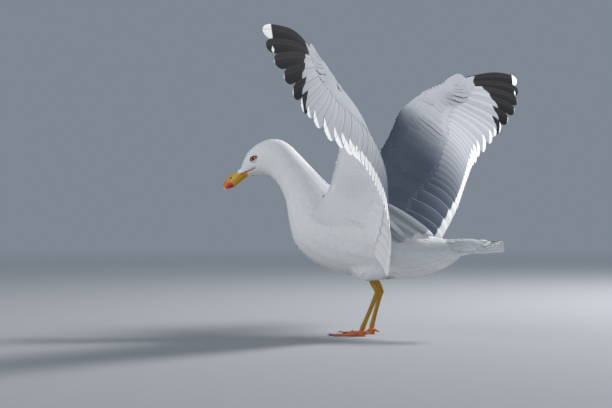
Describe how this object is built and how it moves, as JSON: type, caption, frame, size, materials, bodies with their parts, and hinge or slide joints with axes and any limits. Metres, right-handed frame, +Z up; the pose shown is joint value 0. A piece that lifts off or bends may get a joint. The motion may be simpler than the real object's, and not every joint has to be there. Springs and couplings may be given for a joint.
{
  "type": "yellow-legged gull model",
  "caption": "Life-size still model of an adult yellow-legged gull standing with both wings raised and its head stretched forward, bill lowered",
  "frame": {"origin": "on the floor, below the middle of the bird's box", "axes": "+Z is up, the bird faces -Y, its left wing is towards +X; the wings' spread is along X"},
  "size_m": [1.2168, 0.4922, 0.4667],
  "materials": {
    "plumage_white": "matt feathers, white",
    "plumage_grey": "matt feathers, mid grey above, white below and at the tips",
    "plumage_black": "matt flight feathers, black towards the tips with white spots and tips, grey at the root",
    "bill_horn": "semi-gloss horn, yellow with a red spot and a pale tip",
    "eye_gloss": "wet gloss, pale yellow iris, black pupil, red ring of bare skin",
    "leg_skin": "fine horny scales, dull yellow",
    "foot_web": "soft webs, orange yellow",
    "claw_horn": "dark horn"
  },
  "bodies": {
    "root": {"bill_lower": "bill_horn", "bill_upper": "bill_horn", "claw_left_2": "claw_horn", "claw_left_3": "claw_horn", "claw_left_4": "claw_horn", "claw_right_2": "claw_horn", "claw_right_3": "claw_horn", "claw_right_4": "claw_horn", "eye_left": "eye_gloss", "eye_right": "eye_gloss", "foot_left": "foot_web", "foot_right": "foot_web", "head": "plumage_white", "hind_toe_left": "leg_skin", "hind_toe_right": "leg_skin", "neck": "plumage_white", "primaries_left": "plumage_black", "primaries_right": "plumage_black", "secondaries_left": "plumage_grey", "secondaries_right": "plumage_grey", "shank_left": "leg_skin", "shank_right": "leg_skin", "tail": "plumage_white", "tarsus_left": "leg_skin", "tarsus_right": "leg_skin", "thigh_left": "plumage_white", "thigh_right": "plumage_white", "trunk": "plumage_white", "wing_arm_left": "plumage_grey", "wing_arm_right": "plumage_grey", "wing_hand_left": "plumage_grey", "wing_hand_right": "plumage_grey"}
  },
  "joints": []
}
